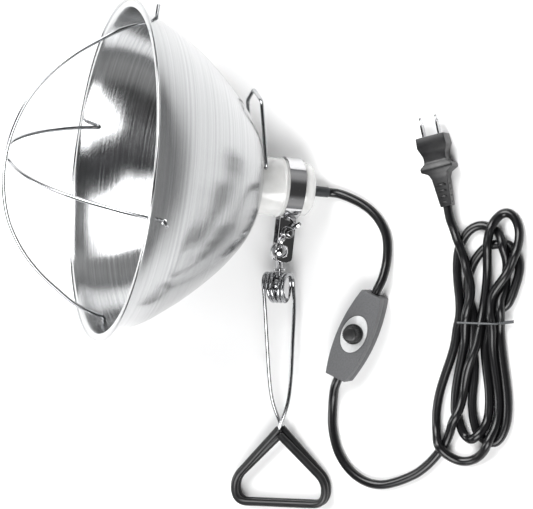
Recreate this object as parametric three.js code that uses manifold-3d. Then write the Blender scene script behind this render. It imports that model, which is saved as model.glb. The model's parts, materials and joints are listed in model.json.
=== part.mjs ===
// Clamp-on heat lamp with wire guard, spring clamp, line dimmer and mains cord.
// Units are millimetres, +Z is up, and the lamp lies on its reflector and socket cap.
import * as THREE from "three";
import { mergeVertices } from "three/addons/utils/BufferGeometryUtils.js";
import Module from "manifold-3d";

const wasm = await Module();
wasm.setup();

// ---------- driving dimensions ----------
const GAP = 0.3;                    // air between touching pieces
const SHEET = 1.0;                  // reflector sheet thickness
const RIM_R = 127;                  // reflector wall at the rim
const LIP_R = 133.5;                // edge of the flared lip
const LAMP_YAW = -0.115;            // turn of the lamp axis about Z, radians
const ORIGIN = [-57, -1.35];          // middle of the resting outline on the floor plan
const LAMP_AT = [-84.7, 65.06];     // rim centre on the floor plan

const GUARD_WIRE = 1.5;             // wire radii
const BAIL_WIRE = 1.5;
const SPRING_WIRE = 1.5;
const SLEEVE_R = 3.0;
const GUARD_ROLL = 15;              // turn of the guard about the lamp axis, degrees

const BODY_R = 22.8;                // porcelain front body
const BODY_FRONT = 114.8;           // distances behind the rim
const BODY_BACK = 143.2;
const CAP_R = 21;
const CAP_BACK = 161.5;
const SLEEVE_END = 176;
const BAIL_AT = 117.2;              // bail pivot behind the rim and off the lamp axis
const BAIL_OFF = 14;
const BAIL_HALF = 20.5;             // half the width between its legs
const BAIL_REACH = 52;
const BAIL_PEAK = 9;                // height of the bent middle of the crossbar
const BAIL_LEAN = 10.5;             // degrees towards the bell at rest

const BAND_R = 23.2;                // inside of the band
const BAND_T = 1.2;
const BAND_FROM = 137;
const BAND_WIDTH = 13;
const EAR_GAP = 11;                 // clear space between the two ears
const EAR_END = 58;                 // ear tip from the lamp axis
const BALL_FROM_AXIS = 49.7;
const BALL_AT = 141;
const BALL_R = 7.3;
const BOLT_FROM_AXIS = 34.5;
const BOLT_AT = 143.5;
const BOLT_R = 2.4;

const STUD_R = 2.5;
const COLLAR_AT = 14.6;
const COIL_AT = 29;                 // coil axis below the ball centre
const COIL_R = 10.85;
const COIL_TURNS = 4.5;
const COIL_PITCH = 3.15;
const COIL_SPLIT = 4.4;             // first winding from the stud's axis, at the stud's side
const CLAMP_DIP = 6.1;              // degrees down towards the jaws
const CLAMP_YAW = -1.9;

const CORD_R = 3.6;
const DIMMER_AT = [79.6, -63.6];
const DIMMER_YAW = -24.8;
const DIMMER_L = 72;
const DIMMER_W = 27;
const DIMMER_END_W = 17;
const DIMMER_H = 20;
const WALL = 1.8;
const KNOB_AT = 1.5;                // knob axis along the dimmer, from its middle
const KNOB_R = 8;

const TIE_X = 178.4;                // middle of the tied bundle
const TIE_Y = -53;
const TIE_HALF = 17.4;

const PLUG_AT = [153.4, 37.5];
const PLUG_YAW = 13;
const PLUG_Z = 9;
const PLUG_L = 56;

// ---------- materials ----------
const finish = (color, roughness, metalness) =>
  new THREE.MeshStandardMaterial({ color, roughness, metalness });
const ALUMINIUM = finish(0xd8dadb, 0.3, 1);
const CHROME = finish(0xe6e7e8, 0.14, 1);
const BRASS = finish(0xc9a75a, 0.35, 1);
const PORCELAIN = finish(0xf2f2ee, 0.25, 0);
const VINYL = finish(0x1b1b1c, 0.55, 0);
const CORD_BLACK = finish(0x17181a, 0.45, 0);
const PLASTIC = finish(0x2e3033, 0.6, 0);
const DIAL_GREY = finish(0x8f9294, 0.4, 0.2);
const BOARD = finish(0x2f6b3c, 0.6, 0);
const TIE_GREY = finish(0x55585b, 0.5, 0);

// ---------- helpers ----------
const V = (x, y, z) => new THREE.Vector3(x, y, z);
const radians = THREE.MathUtils.degToRad;

function outward(geometry) {
  // Position-only geometry with merged vertices and a positive volume.
  const bare = geometry.index ? geometry.toNonIndexed() : geometry;
  bare.deleteAttribute("normal");
  bare.deleteAttribute("uv");
  const merged = mergeVertices(bare, 1e-4);
  const p = merged.attributes.position;
  const index = Array.from(merged.index.array);
  const triangles = [];
  let volume = 0;
  for (let i = 0; i < index.length; i += 3) {
    const [a, b, c] = index.slice(i, i + 3);
    if (a === b || b === c || a === c) continue;
    triangles.push(a, b, c);
    const at = (k) => V(p.getX(k), p.getY(k), p.getZ(k));
    volume += at(a).dot(at(b).cross(at(c)));
  }
  if (volume < 0) {
    for (let i = 0; i < triangles.length; i += 3) {
      [triangles[i], triangles[i + 1]] = [triangles[i + 1], triangles[i]];
    }
  }
  merged.setIndex(triangles);
  return merged;
}

function solid(geometry) {
  const g = outward(geometry);
  return new wasm.Manifold(new wasm.Mesh({
    numProp: 3,
    vertProperties: new Float32Array(g.attributes.position.array),
    triVerts: new Uint32Array(g.index.array),
  }));
}

function geometryOf(manifold) {
  const mesh = manifold.getMesh();
  const g = new THREE.BufferGeometry();
  g.setAttribute("position", new THREE.BufferAttribute(new Float32Array(mesh.vertProperties), 3));
  g.setIndex(Array.from(mesh.triVerts));
  return g;
}

function piece(parent, name, geometry, material) {
  const mesh = new THREE.Mesh(outward(geometry), material);
  mesh.name = name;
  parent.add(mesh);
  return mesh;
}

// A path through given points that a section follows exactly.
class PointPath extends THREE.Curve {
  constructor(points) {
    super();
    this.points = points;
  }
  getPoint(t) {
    const last = this.points.length - 1;
    const k = Math.min(Math.floor(t * last + 1e-9), last - 1);
    return this.points[k].clone().lerp(this.points[k + 1], t * last - k);
  }
  getPointAt(u) {
    return this.getPoint(u);
  }
  getSpacedPoints() {
    return this.points.map((q) => q.clone());
  }
  getTangentAt(u) {
    const step = 0.5 / (this.points.length - 1);
    const a = this.getPoint(Math.max(0, u - step));
    return this.getPoint(Math.min(1, u + step)).sub(a).normalize();
  }
}

function ring(radius, sides) {
  const points = [];
  for (let k = 0; k < sides; k++) {
    const t = (2 * Math.PI * k) / sides;
    points.push(new THREE.Vector2(radius * Math.cos(t), radius * Math.sin(t)));
  }
  return points;
}

function sweep(points, radius, sides = 8, bore = 0) {
  const section = new THREE.Shape(ring(radius, sides));
  if (bore) section.holes.push(new THREE.Path(ring(bore, sides)));
  return new THREE.ExtrudeGeometry(section, {
    steps: points.length - 1,
    extrudePath: new PointPath(points),
    bevelEnabled: false,
  });
}

const smooth = (points, steps) =>
  new THREE.CatmullRomCurve3(points, false, "centripetal").getSpacedPoints(steps);

// Straight runs joined by rounded corners; each corner takes `trim` off its runs.
function rounded(points, trim, bend = 4) {
  const path = [points[0].clone()];
  for (let k = 1; k < points.length - 1; k++) {
    const from = points[k].clone().add(points[k - 1].clone().sub(points[k]).setLength(trim));
    const to = points[k].clone().add(points[k + 1].clone().sub(points[k]).setLength(trim));
    path.push(...new THREE.QuadraticBezierCurve3(from, points[k], to).getPoints(bend));
  }
  path.push(points[points.length - 1].clone());
  return path;
}

// Lathe about Z from [z, r] pairs.
function turned(profile, sides = 24) {
  const points = profile.map(([z, r]) => new THREE.Vector2(r, z));
  points.push(points[0].clone());
  return new THREE.LatheGeometry(points, sides).rotateX(Math.PI / 2);
}

function rod(radius, length, sides = 12) {
  return new THREE.CylinderGeometry(radius, radius, length, sides);
}

const cut = (body, ...tools) => geometryOf(
  tools.reduce((left, tool) => left.subtract(solid(tool)), solid(body)));
const join = (first, ...others) => geometryOf(
  others.reduce((sum, other) => sum.add(solid(other)), solid(first)));

// ---------- reflector outline: [distance behind the rim, outside radius] ----------
const BELL = [
  [0.6, RIM_R], [12, 124], [31, 116], [45, 107], [59, 97], [75, 83.5], [88.5, 70.5], [99.5, 57.5],
  [104.5, 50.5], [108.6, 43], [111.3, 36], [113.8, 27],
];
const NECK_R = 18.9;

// Lean of the axis at which the bell and the socket cap both touch the floor.
const CAP_EDGE = [157.5, 22.0];
const floorSide = ([z, r], lean) => z * Math.sin(lean) + r * Math.cos(lean);
function restingLean() {
  let low = 0.4;
  let high = 0.9;
  for (let k = 0; k < 50; k++) {
    const lean = (low + high) / 2;
    const bell = Math.max(...BELL.map((q) => floorSide(q, lean)));
    if (bell > floorSide(CAP_EDGE, lean)) low = lean;
    else high = lean;
  }
  return low;
}
const LEAN = restingLean();
const RIM_HEIGHT = Math.max(...BELL.map((q) => floorSide(q, LEAN)));

const fixture = new THREE.Group();
const lamp = new THREE.Group();
const along = V(Math.cos(LEAN) * Math.cos(LAMP_YAW), Math.cos(LEAN) * Math.sin(LAMP_YAW),
  -Math.sin(LEAN));
const side = V(-Math.sin(LAMP_YAW), Math.cos(LAMP_YAW), 0);
const upward = along.clone().cross(side);
lamp.matrixAutoUpdate = false;
lamp.matrix.makeBasis(side, upward, along);
lamp.matrix.setPosition(LAMP_AT[0] - ORIGIN[0], LAMP_AT[1] - ORIGIN[1], RIM_HEIGHT);
fixture.add(lamp);

const inLamp = (angle, radius, z) =>
  V(radius * Math.cos(radians(angle)), radius * Math.sin(radians(angle)), z);

// ---------- reflector and its guard ----------
function addReflector() {
  const inner = BELL.map(([z, r]) => [z + 0.4 * SHEET, r - SHEET]).reverse();
  const lip = [[-0.6, LIP_R - 1], [-0.4, LIP_R], [0.8, LIP_R], [1.3, LIP_R - 1.4]];
  const profile = [
    ...lip, [1.4, RIM_R + 1], ...BELL.slice(1), [114.5, 24], [114.5, NECK_R],
    [113.5, NECK_R], ...inner.slice(0, -1), [0.2, RIM_R - 1.2],
  ];
  const holes = [];
  for (let k = 0; k < 4; k++) {
    const hole = rod(GUARD_WIRE + 0.5, 14, 8);
    hole.rotateZ(-Math.PI / 2).translate(122, 0, 14);
    holes.push(hole.rotateZ(radians(GUARD_ROLL + 90 * k)));
  }
  piece(lamp, "reflector", cut(turned(profile, 44), ...holes), ALUMINIUM);
}

// [distance from the axis, distance behind the rim] of half a bow, ends first
const BOW = [[111, -10], [101, -25], [88, -42], [70, -59], [48, -72.5], [24, -80]];
const BOW_END = 134;

function addGuardBow(name, angle, tip) {
  const end = (side) => [V(side * BOW_END, 0, 14), V(side * 120.5, 0, 14)];
  const half = BOW.map(([r, z]) => [r, z + (tip + 82) * 0.8]);
  const arch = smooth([
    V(118.6, 0, 8), ...half.map(([r, z]) => V(r, 0, z)), V(0, 0, tip),
    ...half.slice().reverse().map(([r, z]) => V(-r, 0, z)), V(-118.6, 0, 8),
  ], 34);
  const path = [end(1)[0], end(1)[1], V(119.3, 0, 12.5), ...arch, V(-119.3, 0, 12.5),
    end(-1)[1], end(-1)[0]];
  piece(lamp, name, sweep(path, GUARD_WIRE, 6).rotateZ(radians(angle)), CHROME);
}

// ---------- hanging bail ----------
function addBail() {
  const path = rounded([
    V(0, BAIL_HALF - 7, 0), V(0, BAIL_HALF, 0), V(BAIL_REACH, BAIL_HALF - 1, 0),
    V(BAIL_REACH + BAIL_PEAK, 0, 0), V(BAIL_REACH, 1 - BAIL_HALF, 0), V(0, -BAIL_HALF, 0), V(0, 7 - BAIL_HALF, 0),
  ], 3.2, 3);
  const bail = sweep(path, BAIL_WIRE, 8).rotateY(radians(BAIL_LEAN));
  piece(lamp, "hanging_bail", bail.translate(BAIL_OFF, 0, BAIL_AT), CHROME);
}

// ---------- socket ----------
function addSocket() {
  const shellBore = 14.6;
  const body = turned([
    [106.2, 18.4], [BODY_FRONT, 18.4], [BODY_FRONT, BODY_R - 1], [BODY_FRONT + 1, BODY_R],
    [133, BODY_R], [133.6, BODY_R + 0.8], [135.6, BODY_R + 0.8], [136.2, BODY_R],
    [BODY_BACK, BODY_R], [BODY_BACK, 12], [140.5, 12], [140.5, shellBore], [106.2, shellBore],
  ], 32);
  const pivot = (hand) => rod(BAIL_WIRE + 0.35, 22, 10)
    .translate(BAIL_OFF, hand * (BAIL_HALF + 2.6), BAIL_AT);
  piece(lamp, "socket_body", cut(body, pivot(1), pivot(-1)), PORCELAIN);

  piece(lamp, "retaining_ring", turned([
    [106.7, 18.8], [106.7, 22.5], [108.2, 24.5], [113.1, 24.5], [113.1, 18.8],
  ], 24), PORCELAIN);

  const threads = [];
  for (let k = 0; k <= 12; k++) threads.push([113 + 1.8 * k, k % 2 ? 13.5 : 14.2]);
  const inside = threads.slice().reverse().map(([z, r]) => [z, r - 0.4]);
  piece(lamp, "screw_shell", turned([...threads, ...inside], 16), BRASS);

  piece(lamp, "centre_contact", turned([
    [138, 0], [138, 4], [139.4, 6], [140.1, 6], [140.1, 0],
  ], 12), BRASS);

  const start = BODY_BACK + GAP;
  const cap = turned([
    [start, CAP_R - 0.2], [150.6, CAP_R - 0.2], [151, CAP_R], [154.5, CAP_R + 0.2],
    [157.5, CAP_R], [159.8, 18.5], [161, 15], [CAP_BACK, 11], [CAP_BACK, 4.5],
    [158, 4.5], [158, 7], [155, 7], [155, 15], [start, 15],
  ], 32);
  const screwHoles = [1, -1].map((s) =>
    rod(2.6, 40, 10).rotateX(Math.PI / 2).translate(0, s * 17.4, 150));
  piece(lamp, "socket_cap", cut(cap, screwHoles[0], screwHoles[1]), PORCELAIN);
  [1, -1].forEach((s, k) => {
    const screw = join(
      rod(1.6, 14, 8).rotateX(Math.PI / 2).translate(0, s * 17.4, 151),
      rod(2.3, 1.6, 12).rotateX(Math.PI / 2).translate(0, s * 17.4, 157.2));
    piece(lamp, `cap_screw_${k + 1}`, screw, BRASS);
    piece(lamp, `terminal_screw_${k + 1}`, join(
      rod(1.5, 4, 8).rotateX(Math.PI / 2).translate(s * 9.5, 0, 146),
      rod(3, 1.6, 12).rotateX(Math.PI / 2).translate(s * 9.5, 0, 148.6)), BRASS);
  });

  piece(lamp, "strain_relief", turned([
    [155.4, 0], [155.4, 6.6], [157.6, 6.6], [157.6, 4.1], [SLEEVE_END, 4.0], [SLEEVE_END, 0],
  ], 16), VINYL);
}

// ---------- band, ears and their bolt ----------
function bandOutline(inset) {
  // Ring with two straight ears towards -X; `inset` 0 is the outside, 1 the inside.
  const r = BAND_R + (inset ? 0 : BAND_T);
  const y = EAR_GAP / 2 + (inset ? 0 : BAND_T);
  const reach = Math.asin(y / r);
  const points = [];
  for (let k = 0; k <= 28; k++) {
    const t = -Math.PI + reach + ((2 * Math.PI - 2 * reach) * k) / 28;
    points.push(new THREE.Vector2(r * Math.cos(t), r * Math.sin(t)));
  }
  return { points, y };
}

function addBand() {
  const outer = bandOutline(0);
  const inner = bandOutline(1);
  const outline = [
    new THREE.Vector2(-EAR_END, -inner.y), new THREE.Vector2(-EAR_END, -outer.y), ...outer.points,
    new THREE.Vector2(-EAR_END, outer.y), new THREE.Vector2(-EAR_END, inner.y),
    ...inner.points.slice().reverse(),
  ];
  const strip = new THREE.ExtrudeGeometry(new THREE.Shape(outline),
    { depth: BAND_WIDTH, bevelEnabled: false }).translate(0, 0, BAND_FROM);
  const rounding = new THREE.Shape();
  const half = BAND_WIDTH / 2 + 1;
  rounding.moveTo(40, -half).lineTo(40, half).lineTo(4 - EAR_END, half);
  rounding.lineTo(4 - EAR_END, half - 1);
  rounding.quadraticCurveTo(-EAR_END, half - 1, -EAR_END, half - 5);
  rounding.lineTo(-EAR_END, 5 - half);
  rounding.quadraticCurveTo(-EAR_END, 1 - half, 4 - EAR_END, 1 - half);
  rounding.lineTo(4 - EAR_END, -half);
  const plate = new THREE.ExtrudeGeometry(rounding, { depth: 80, curveSegments: 4,
    bevelEnabled: false }).translate(0, 0, -40).rotateX(Math.PI / 2);
  plate.translate(0, 0, BAND_FROM + BAND_WIDTH / 2);
  const trimmed = solid(strip).intersect(solid(plate));
  const ballHole = rod(5.3, 40, 20).translate(-BALL_FROM_AXIS, 0, BALL_AT);
  const boltHole = rod(BOLT_R + GAP, 40, 12).translate(-BOLT_FROM_AXIS, 0, BOLT_AT);
  piece(lamp, "mounting_band",
    geometryOf(trimmed.subtract(solid(ballHole)).subtract(solid(boltHole))), CHROME);

  const earFace = EAR_GAP / 2 + BAND_T;
  const at = (geometry, y) => geometry.translate(-BOLT_FROM_AXIS, y, BOLT_AT);
  piece(lamp, "band_bolt", join(
    at(rod(BOLT_R, 2 * earFace + 12), 5.2),
    at(rod(4.4, 2.6, 6), -earFace - GAP - 1.3)), CHROME);
  piece(lamp, "bolt_washer", cut(
    at(rod(5, 1), earFace + GAP + 0.5), at(rod(BOLT_R + GAP, 6), earFace)), CHROME);

  const nutAt = earFace + 2 * GAP + 1;
  const wings = new THREE.Shape();
  wings.moveTo(-11.5, 4.2).quadraticCurveTo(-12.6, 8.6, -9.4, 8.8);
  wings.quadraticCurveTo(-6, 8.4, -4.2, 3.4).lineTo(4.2, 3.4);
  wings.quadraticCurveTo(6, 8.4, 9.4, 8.8).quadraticCurveTo(12.6, 8.6, 11.5, 4.2);
  wings.quadraticCurveTo(8, 0.4, 3.6, 0.4).lineTo(-3.6, 0.4);
  wings.quadraticCurveTo(-8, 0.4, -11.5, 4.2);
  const wing = new THREE.ExtrudeGeometry(wings, { depth: 2, curveSegments: 4,
    bevelEnabled: false }).translate(0, 0, -1);
  const hub = rod(4.2, 5.5, 12).translate(0, 2.75, 0);
  const bore = rod(BOLT_R + GAP, 24, 12);
  const nut = geometryOf(solid(hub).add(solid(wing)).subtract(solid(bore)));
  nut.rotateY(radians(-41));
  piece(lamp, "wing_nut", nut.translate(-BOLT_FROM_AXIS, nutAt, BOLT_AT), CHROME);
}

// ---------- clamp: ball stud, torsion spring, arms and jaws ----------
const clamp = new THREE.Group();
const ballSpot = inLamp(180, BALL_FROM_AXIS, BALL_AT).applyMatrix4(lamp.matrix);
clamp.position.copy(ballSpot);
clamp.rotation.set(radians(CLAMP_DIP), 0, radians(CLAMP_YAW), "ZXY");
fixture.add(clamp);

function addBallStud() {
  const profile = [[-BALL_R, 0]];
  for (let k = 1; k < 9; k++) {
    const t = (Math.PI * k) / 10;
    profile.push([-BALL_R * Math.cos(t), BALL_R * Math.sin(t)]);
  }
  profile.push([BALL_R * 0.94, STUD_R], [COIL_AT - 4, STUD_R], [COIL_AT - 4, 0]);
  piece(clamp, "ball_stud", turned(profile, 16).rotateX(Math.PI / 2), CHROME);
  piece(clamp, "stud_collar", cut(
    rod(4.7, 1.9, 16).translate(0, -COLLAR_AT, 0), rod(STUD_R + GAP, 6, 16).translate(0, -COLLAR_AT, 0)),
  CHROME);
}

// Windings lie together away from the stud and fan out around it.
function coilPoint(turn) {
  const t = Math.PI / 2 - 2 * Math.PI * turn;
  const middle = turn - COIL_TURNS / 2;
  const fan = middle < 0.5 ? -COIL_SPLIT : COIL_SPLIT - COIL_PITCH;
  return V(COIL_PITCH * middle + (fan * (1 + Math.cos(t))) / 2, COIL_R * Math.cos(t) - COIL_AT,
    COIL_R * Math.sin(t));
}

function addSpring() {
  const points = [];
  const steps = 72;
  for (let k = 0; k <= steps; k++) points.push(coilPoint((COIL_TURNS * k) / steps));
  piece(clamp, "spring_coil", sweep(points, SPRING_WIRE - 0.05, 6), CHROME);
  piece(clamp, "coil_barrel", cut(
    rod(8.4, 15, 20).rotateZ(Math.PI / 2).translate(-0.5, -COIL_AT, 0),
    rod(STUD_R + GAP, 24, 12).translate(0, 8 - COIL_AT, 0)), CHROME);
}

const JAW_BAR = -200.9;
const JAW_HALF = 36.8;              // sharp lower corners of the jaw loop from the middle
const JAW_SKEW = 0.025;             // rise of the loop's bar from left to right
const JAW_LAYER = SLEEVE_R + GAP / 2;

// hand is +1 for the arm on the +X side of the coil, whose jaw is the upper one
function addArm(hand, name) {
  const layer = hand * JAW_LAYER;
  const arm = smooth([
    coilPoint(hand > 0 ? COIL_TURNS : 0).add(V(0, -0.4, 0)), V(hand * 8.6, -45, -hand * 9.8),
    V(hand * 8.6, -75, -hand * 5.6), V(hand * 8.3, -104, -hand * 1.4),
    V(hand * 7.2, -118, hand * 0.8), V(hand * 4.6, -129, hand * 2.6), V(hand * 2, -135.6, layer),
    V(hand * 1, -138.6, layer), V(0, -141.2, layer),
  ], 24);
  const jaw = (x, y) => V(x, y + JAW_SKEW * x, layer);
  const loop = rounded([
    V(0, -141.2, layer), jaw(-hand * 39.2, -183.1), jaw(-hand * JAW_HALF, JAW_BAR),
    jaw(hand * JAW_HALF, JAW_BAR), jaw(hand * 39.2, -183.1), V(hand * 0.8, -146.4, layer),
  ], 9.2, 4);
  piece(clamp, `${name}_arm`, sweep([...arm, ...loop], SPRING_WIRE, 8), CHROME);
  piece(clamp, `${name}_jaw_sleeve`, sweep(loop, SLEEVE_R, 8, SPRING_WIRE + GAP), VINYL);
}

// ---------- dimmer ----------
const dimmer = new THREE.Group();
dimmer.position.set(DIMMER_AT[0] - ORIGIN[0], DIMMER_AT[1] - ORIGIN[1], 0);
dimmer.rotation.z = radians(DIMMER_YAW);
fixture.add(dimmer);

function dimmerBlock(inset, from, to) {
  const half = DIMMER_L / 2 - inset;
  const wide = DIMMER_W / 2 - inset;
  const end = DIMMER_END_W / 2 - inset;
  const bulge = 2 * wide - end;
  const s = new THREE.Shape();
  s.moveTo(-end, -half).lineTo(end, -half).quadraticCurveTo(bulge, 0, end, half);
  s.lineTo(-end, half).quadraticCurveTo(-bulge, 0, -end, -half);
  return new THREE.ExtrudeGeometry(s, { depth: to - from, curveSegments: 10,
    bevelEnabled: false }).translate(0, 0, from);
}

function addDimmer() {
  const mid = DIMMER_H / 2;
  const cordHole = () => rod(CORD_R + GAP, 90, 12).translate(0, 0, mid);
  const base = solid(dimmerBlock(0, 0, mid - GAP / 2))
    .subtract(solid(dimmerBlock(WALL, WALL, mid + 2))).subtract(solid(cordHole()));
  piece(dimmer, "dimmer_base", geometryOf(base), PLASTIC);
  const oval = (a, b, depth, z) => rod(1, depth, 24).rotateX(Math.PI / 2)
    .scale(a, b, 1).translate(0, KNOB_AT, z);
  const cover = solid(dimmerBlock(0, mid + GAP / 2, DIMMER_H))
    .subtract(solid(dimmerBlock(WALL, mid - 2, DIMMER_H - WALL - 0.8)))
    .subtract(solid(cordHole())).subtract(solid(oval(10.6, 15.6, 2, DIMMER_H)))
    .subtract(solid(oval(4.2, 4.2, 12, DIMMER_H)));
  piece(dimmer, "dimmer_cover", geometryOf(cover), PLASTIC);
  piece(dimmer, "dial_plate", cut(oval(10.2, 15.2, 0.8, DIMMER_H - 0.3),
    oval(4.2, 4.2, 6, DIMMER_H)), DIAL_GREY);
  const pot = join(
    new THREE.BoxGeometry(15, 15, 5).translate(0, KNOB_AT, 13.6),
    rod(3.6, 3, 12).rotateX(Math.PI / 2).translate(0, KNOB_AT, 17.4));
  piece(dimmer, "potentiometer", cut(pot,
    rod(2.9, 6, 12).rotateX(Math.PI / 2).translate(0, KNOB_AT, 17.6)), BOARD);
  piece(dimmer, "pot_shaft", rod(2.5, 10, 12).rotateX(Math.PI / 2)
    .translate(0, KNOB_AT, 20.2), CHROME);
  const knobFoot = DIMMER_H + 0.5;
  const knob = turned([
    [knobFoot, 0], [knobFoot, KNOB_R], [knobFoot + 2, KNOB_R], [knobFoot + 3.2, KNOB_R - 1.6],
    [knobFoot + 10, KNOB_R - 2.2], [knobFoot + 11, KNOB_R - 3], [knobFoot + 11, 0],
  ], 20);
  piece(dimmer, "dimmer_knob", cut(knob.translate(0, KNOB_AT, 0),
    rod(2.5 + GAP, 10.4, 12).rotateX(Math.PI / 2).translate(0, KNOB_AT, knobFoot)), PLASTIC);
  piece(dimmer, "dimmer_board", new THREE.BoxGeometry(14, 50, 1.5).translate(0, 0, 6), BOARD);
  piece(dimmer, "triac_heatsink", new THREE.BoxGeometry(10, 12, 3.5).translate(0, -18, 9.2),
    ALUMINIUM);
  [24, -24].forEach((y, k) => piece(dimmer, `dimmer_screw_${k + 1}`,
    rod(1.4, 2.6, 10).rotateX(Math.PI / 2).translate(0, y, 3.2), CHROME));
}

// ---------- cord ----------
const CORD_LAMP = [
  [61, 48.2, 3.75], [67, 46.4, 3.75], [73, 44, 3.75], [82, 39.5, 3.7], [90, 33.5, 3.7],
  [97, 25, 3.7], [101.5, 15, 3.7], [102.6, 4, 3.8], [102, -7, 4.8], [100, -19, 8.6],
];
const CORD_FLOOR = [
  [60.6, -104.5, 8.6], [58.2, -113, 5.2], [57, -123, 3.8], [56.8, -134, 3.7], [58.5, -145, 3.7],
  [62, -156, 3.7], [69, -167, 3.7], [78, -175, 3.7], [88, -179.5, 3.7], [98, -180.5, 3.7],
  [108, -178.5, 3.7], [119, -174.5, 3.7], [129, -169.5, 3.7], [138, -164.2, 3.7],
];
const CORD_TAIL = [[156.2, 24.6, 8.4], [155, 29, 8.8], [153.9, 34.2, 9]];

const onFloor = ([x, y, z]) => V(x - ORIGIN[0], y - ORIGIN[1], z);
const dimmerEnd = (y) => V(0, y, DIMMER_H / 2).applyEuler(dimmer.rotation).add(dimmer.position);

function addCords() {
  const leave = V(0, 0, SLEEVE_END + 1).applyMatrix4(lamp.matrix);
  const straight = V(0, 0, SLEEVE_END + 2.2).applyMatrix4(lamp.matrix);
  const half = DIMMER_L / 2;
  piece(fixture, "cord_lamp_side", sweep(smooth([
    leave, straight, ...CORD_LAMP.map(onFloor), dimmerEnd(half + 4), dimmerEnd(half - 1),
  ], 20), CORD_R, 8), CORD_BLACK);
  piece(fixture, "cord_plug_side", sweep(smooth([
    dimmerEnd(1 - half), dimmerEnd(-half - 4), ...CORD_FLOOR.map(onFloor),
  ], 22), CORD_R, 8), CORD_BLACK);
  piece(fixture, "cord_tail", sweep(smooth(CORD_TAIL.map(onFloor), 3), CORD_R, 8), CORD_BLACK);

  const outline = [
    [163, -46], [156, -25], [152, -4], [153.5, 10], [160, 21], [170, 30], [186, 37],
    [198, 47], [210, 42], [217, 28], [222, 4], [220, -14], [206, -32], [193.6, -46],
    [193.6, -62], [201, -100], [205, -125], [199, -150], [184, -168], [164, -173], [146, -164],
    [136.5, -146], [136, -122], [142, -98], [154, -74], [163, -60],
  ];
  const shape = new THREE.Shape();
  shape.setFromPoints(outline.map(([x, y]) => new THREE.Vector2(x - ORIGIN[0], y - ORIGIN[1])));
  const hank = new THREE.ExtrudeGeometry(shape, { depth: 15, bevelEnabled: false })
    .translate(0, 0, 0.2);
  piece(fixture, "cord_hank", hank, CORD_BLACK);
  const tie = [[TIE_X - TIE_HALF, 3], [TIE_X - TIE_HALF, 16.6], [TIE_X + TIE_HALF, 16.6],
    [TIE_X + TIE_HALF, 3]].map(([x, z]) => onFloor([x, TIE_Y, z]));
  piece(fixture, "twist_tie", sweep(rounded(tie, 3, 3), 0.9, 6), TIE_GREY);
}

// ---------- plug ----------
function addPlug() {
  const plug = new THREE.Group();
  plug.position.set(PLUG_AT[0] - ORIGIN[0], PLUG_AT[1] - ORIGIN[1], PLUG_Z);
  plug.rotation.z = radians(PLUG_YAW);
  fixture.add(plug);
  const s = new THREE.Shape();
  s.moveTo(4.6, 0).lineTo(6.4, 22).lineTo(7.6, 26).lineTo(13, 29).lineTo(13, 32);
  s.lineTo(9.4, 35).quadraticCurveTo(8.2, 40, 10.6, 44).lineTo(12, 48).lineTo(11.5, PLUG_L);
  s.lineTo(-11.5, PLUG_L).lineTo(-12, 48).lineTo(-10.6, 44);
  s.quadraticCurveTo(-8.2, 40, -9.4, 35).lineTo(-13, 32).lineTo(-13, 29).lineTo(-7.6, 26);
  s.lineTo(-6.4, 22).lineTo(-4.6, 0);
  const flat = new THREE.ExtrudeGeometry(s, { depth: 18, curveSegments: 4, bevelEnabled: false });
  const slim = new THREE.Shape();
  slim.moveTo(4.6, 0).lineTo(5.4, 22).lineTo(8.6, 29).lineTo(8.6, 32).lineTo(6.8, 36);
  slim.lineTo(7.2, 44).lineTo(8.4, 48).lineTo(8.4, PLUG_L).lineTo(-8.4, PLUG_L);
  slim.lineTo(-8.4, 48).lineTo(-7.2, 44).lineTo(-6.8, 36).lineTo(-8.6, 32).lineTo(-8.6, 29);
  slim.lineTo(-5.4, 22).lineTo(-4.6, 0);
  const thin = new THREE.ExtrudeGeometry(slim, { depth: 30, bevelEnabled: false });
  thin.translate(0, 0, -15).rotateY(Math.PI / 2);
  const body = solid(flat.translate(0, 0, -9)).intersect(solid(thin));
  const slots = [-6.35, 6.35].map((x) =>
    new THREE.BoxGeometry(1.5 + 2 * GAP, 6, 6.3 + 2 * GAP).translate(x, PLUG_L - 1, 0));
  const cutBody = slots.reduce((left, slot) => left.subtract(solid(slot)), body);
  piece(plug, "plug_body", geometryOf(cutBody), VINYL);
  [-6.35, 6.35].forEach((x, k) => {
    const blade = new THREE.Shape();
    blade.moveTo(-3.15, -3.2).lineTo(3.15, -3.2).lineTo(3.15, 13.4).lineTo(1.4, 15.9);
    blade.lineTo(-1.4, 15.9).lineTo(-3.15, 13.4).lineTo(-3.15, -3.2);
    const hole = new THREE.Path(ring(1.6, 10).map((q) => q.add(new THREE.Vector2(0, 11.4))));
    blade.holes.push(hole);
    const strip = new THREE.ExtrudeGeometry(blade, { depth: 1.5, bevelEnabled: false });
    strip.translate(0, 0, -0.75).rotateY(Math.PI / 2).translate(x, PLUG_L, 0);
    piece(plug, `plug_blade_${k + 1}`, strip, CHROME);
  });
}

addReflector();
addGuardBow("guard_bow_outer", GUARD_ROLL, -84.4);
addGuardBow("guard_bow_inner", GUARD_ROLL + 90, -81.2);
addBail();
addSocket();
addBand();
addBallStud();
addSpring();
addArm(1, "upper");
addArm(-1, "lower");
addDimmer();
addCords();
addPlug();

export default fixture;
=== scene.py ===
"""Clamp-on heat lamp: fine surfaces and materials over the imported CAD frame.

Lengths are millimetres in the frame of the sub-assembly they belong to (lamp, clamp, dimmer, plug
or floor plan), and MM turns them into Blender's metres. The camera and the lights are in metres.
The sub-assemblies' places come from the frame's joints and mounts.
"""
import json
import math

import bmesh
import bpy
import numpy as np
from mathutils import Matrix, Vector

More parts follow.
